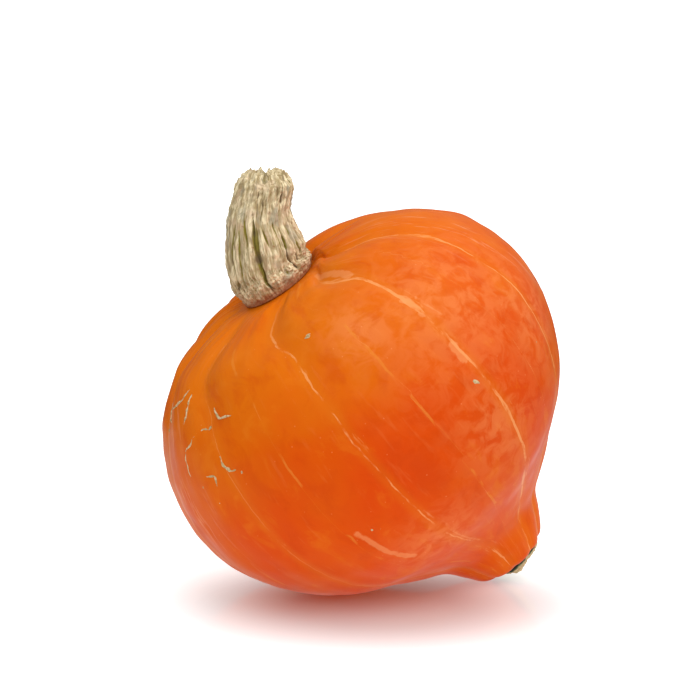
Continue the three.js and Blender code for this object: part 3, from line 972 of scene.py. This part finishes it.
def scratch_ridge(name, half_width, path):
    path = np.array(path)

    def form(turn, share):
        steps = [np.maximum(0, share - SMALL_STEP), share, np.minimum(1, share + SMALL_STEP)]
        behind, here, ahead = (smooth_through(path, (len(path) - 1) * step).T for step in steps)
        place, out = rind_axes(np.radians(here[0]), here[1])
        way = on_rind(np.radians(ahead[0]), ahead[1]) - on_rind(np.radians(behind[0]), behind[1])
        across = np.cross(way, out)
        across /= np.linalg.norm(across, axis=-1)[:, None]
        thin_out = np.sin(math.pi * share) ** 0.4
        seed = len(name) + int(10 * half_width)
        place_mm = place / MM
        rough = 1 + 0.3 * ripples(place_mm, 1.4, seed=seed) + 0.2 * ripples(place_mm, 0.6, seed=seed + 1)
        wide = half_width * thin_out * np.clip(rough, 0.25, 2) * np.cos(turn)
        drift = 0.35 * ripples(place_mm, 2.5, seed=seed + 2)
        high = (SCRATCH_PROUD * thin_out * np.clip(rough, 0.4, 1.6) + 0.25) * np.sin(turn) - 0.25
        return place + across * ((wide + drift) * MM)[:, None] + out * (high * MM)[:, None]

    ridge, _, _ = rolled_sheet(name, SCRATCH_AROUND, SCRATCH_ALONG, form)
    close_up(ridge)
    return ridge


# Corky specks as turn in degrees, place in the rings, and half their length in millimetres
SPECKS = [
    (268.5, 3.95, 1.2),
    (288, 8.16, 1.2),
    (313.2, 8.99, 0.5),
    (212.6, 4.6, 0.8),
    (242, 9.08, 0.55),
    (243.8, 9.19, 0.5),
    (221.5, 6.1, 0.5),
    (203.5, 6.1, 0.5),
    (208, 6.6, 0.45),
    (176, 4.6, 0.6),
    (60, 7.4, 0.8),
    (112, 9.6, 0.7),
    (140, 5.2, 0.9),
    (28, 10.4, 0.6),
]


def speck(number, turn_degrees, at, half_length):
    place, out = rind_axes(math.radians(turn_degrees), at)
    bpy.ops.object.select_all(action="DESELECT")
    bpy.ops.mesh.primitive_ico_sphere_add(subdivisions=4, radius=1)
    piece = bpy.context.object
    piece.name = f"speck_{number}"
    ball = corners(piece)
    along_way = np.cross(out, (0, 1, 0.3))
    along_way /= np.linalg.norm(along_way)
    across = np.cross(out, along_way)
    rough = 1 + 0.25 * ripples(ball, 0.7, seed=50 + number)
    sizes = np.array([half_length, half_length * 0.65, 0.3])
    shaped = ball * sizes * rough[:, None]
    set_corners(piece, place + MM * (shaped @ np.array([along_way, across, out])))
    bpy.ops.object.shade_smooth()
    return piece


marks = [scratch_ridge(name, width, path) for name, (width, path) in SCRATCHES.items()]
marks += [speck(number, *values) for number, values in enumerate(SPECKS)]
bpy.ops.object.select_all(action="DESELECT")
for mark in marks:
    mark.select_set(True)
bpy.context.view_layer.objects.active = marks[0]
bpy.ops.object.join()
scratches = bpy.context.object
scratches.name = "healed_scratches"
scratches.data.name = "healed_scratches"
print(len(marks), "marks joined,", len(scratches.data.polygons), "faces")

# %% [markdown]
# The scratches' finish: healed cork
#
# It is tan with olive patches, like the crust of the scar, and as dry.

# %% Healed scratch cork


def make_scratch_cork():
    material, tree, shader = new_material("healed_scratch_cork")
    where = add(tree, "TexCoord").outputs["Object"]
    flecks = noise(tree, where, 1.1, detail=3, roughness=0.6)
    wide = noise(tree, where, 4, detail=1)
    colour = blend(tree, between(tree, flecks, 0.35, 0.6), paint("A88C5C"), paint("CDB68C"))
    colour = blend(tree, between(tree, wide, 0.5, 0.62, 0, 0.6), colour, paint("9C8C54"))
    shader.inputs["Roughness"].default_value = 0.8
    link_surface(tree, shader, colour, flecks, 0.5, 0.2)
    return material


finish_piece(scratches, make_scratch_cork(), "scar_cork")
print("the scratches are corked")

# %% [markdown]
# The table
#
# The squash lies on a white glossy table, which mirrors it where they touch. Further out the table glows,
# as an overexposed white table looks, and that washes its mirror image out. Wax mirrors most at the
# limbs, so for all but the camera the table ends in the dark, which keeps the limbs orange.

# %% White glossy table
TABLE_SIZE = 30
TABLE_DROP = 0.05 * MM  # a hair under the flat spot, so that the two faces don't flicker
# The middle of the part that mirrors, to the right of the flat spot and in front of it
MIRROR_MIDDLE = picture_right * 22 * MM + Vector((to_camera.x, to_camera.y, 0)) * 38 * MM
GLOW_FROM, GLOW_TO = 25 * MM, 115 * MM  # how far from there the glow begins, and where it is full
TABLE_GLOW = 0.85
UNDER_GLOW = 0.38  # the glow that the camera doesn't see and that lights the belly from below
UNDER_GLOW_WITHIN = 0.1  # metres away, up to where it is full
TABLE_GLOSS = 0.14  # how well it mirrors where it doesn't glow
TABLE_EDGE = (0.3, 0.8)  # metres away, where all but the camera sees the table end in the dark


def make_table_top():
    material, tree, shader = new_material("white_lacquered_table")
    where = add(tree, "TexCoord").outputs["Object"]
    seen = add(tree, "LightPath").outputs["Is Camera Ray"]
    off_mirror = {0: where, 1: tuple(MIRROR_MIDDLE)}
    beyond = add(tree, "VectorMath", off_mirror, operation="DISTANCE").outputs["Value"]
    away = add(tree, "VectorMath", {0: where}, operation="LENGTH").outputs["Value"]
    end = sums(tree, "MULTIPLY", between(tree, away, *TABLE_EDGE), sums(tree, "SUBTRACT", 1, seen))
    colour = blend(tree, end, paint("DADADA"), paint("404040"))
    tree.links.new(colour, shader.inputs["Base Color"])
    shader.inputs["Roughness"].default_value = 0.12
    shader.inputs["Emission Color"].default_value = (1, 1, 1, 1)
    glow = between(tree, beyond, GLOW_FROM, GLOW_TO, 0, TABLE_GLOW)
    under = between(tree, away, TABLE_EDGE[0], UNDER_GLOW_WITHIN, 0, UNDER_GLOW)
    glow = add(tree, "Mix", {0: seen, 2: under, 3: glow}, data_type="FLOAT").outputs[0]
    gloss = between(tree, beyond, GLOW_FROM, GLOW_TO, TABLE_GLOSS, 0)
    tree.links.new(glow, shader.inputs["Emission Strength"])
    tree.links.new(gloss, shader.inputs["Specular IOR Level"])
    return material


bpy.ops.object.select_all(action="DESELECT")
bpy.ops.mesh.primitive_plane_add(size=TABLE_SIZE, location=(0, 0, -TABLE_DROP))
table = bpy.context.object
table.name = "table_top"
table.data.materials.append(make_table_top())
print("the table is", TABLE_SIZE, "m wide")

# %% [markdown]
# The light
#
# A wide soft lamp hangs above the squash, a little to the right and to the front. The room is bright on
# the camera's side and dim behind the squash, again for the sake of the limbs.

# %% Room light and soft lamp
# The room's light, as its mean, and how much it grows to the right, to the camera and upwards
ROOM_MEAN = 0.71
ROOM_RIGHT = 0.2
ROOM_FRONT = 0.54
ROOM_UP = 0.3
ROOM_LEAST = 0.02
BACKGROUND = 1.1
LAMP_POWER = 6
LAMP_SIZE = 1.2
LAMP_RIGHT, LAMP_FRONT, LAMP_UP = 0.3, 0.3, 1  # metres from the middle of the fruit


def light_room():
    """A white room that is brighter on the camera's side. The camera itself sees plain white."""
    world = bpy.data.worlds.new("white_room")
    world.use_nodes = True
    bpy.context.scene.world = world
    tree = world.node_tree
    tree.nodes.clear()
    way = add(tree, "TexCoord").outputs["Generated"]
    grows = picture_right * ROOM_RIGHT + to_camera * ROOM_FRONT + Vector((0, 0, ROOM_UP))
    slope = add(tree, "VectorMath", {0: way, 1: tuple(grows)}, operation="DOT_PRODUCT").outputs["Value"]
    strength = sums(tree, "MAXIMUM", sums(tree, "ADD", slope, ROOM_MEAN), ROOM_LEAST)
    seen = add(tree, "LightPath").outputs["Is Camera Ray"]
    strength = add(tree, "Mix", {0: seen, 2: strength, 3: BACKGROUND}, data_type="FLOAT").outputs[0]
    room = add(tree, "Background", {"Color": (1, 1, 1, 1), "Strength": strength})
    add(tree, "OutputWorld", {"Surface": room.outputs["Background"]})


def add_lamp(name, position, power, size):
    """A square soft lamp that shines on the middle of the fruit."""
    bpy.ops.object.light_add(type="AREA", location=position)
    lamp = bpy.context.object
    lamp.name = name
    lamp.data.energy = power
    lamp.data.size = size
    lamp.rotation_euler = (position - fruit_middle).to_track_quat("Z", "Y").to_euler()


light_room()
lamp_place = fruit_middle + picture_right * LAMP_RIGHT + to_camera * LAMP_FRONT + Vector((0, 0, LAMP_UP))
add_lamp("soft_lamp", lamp_place, LAMP_POWER, LAMP_SIZE)
bpy.context.scene.view_settings.view_transform = "Standard"
print("lamps are set")
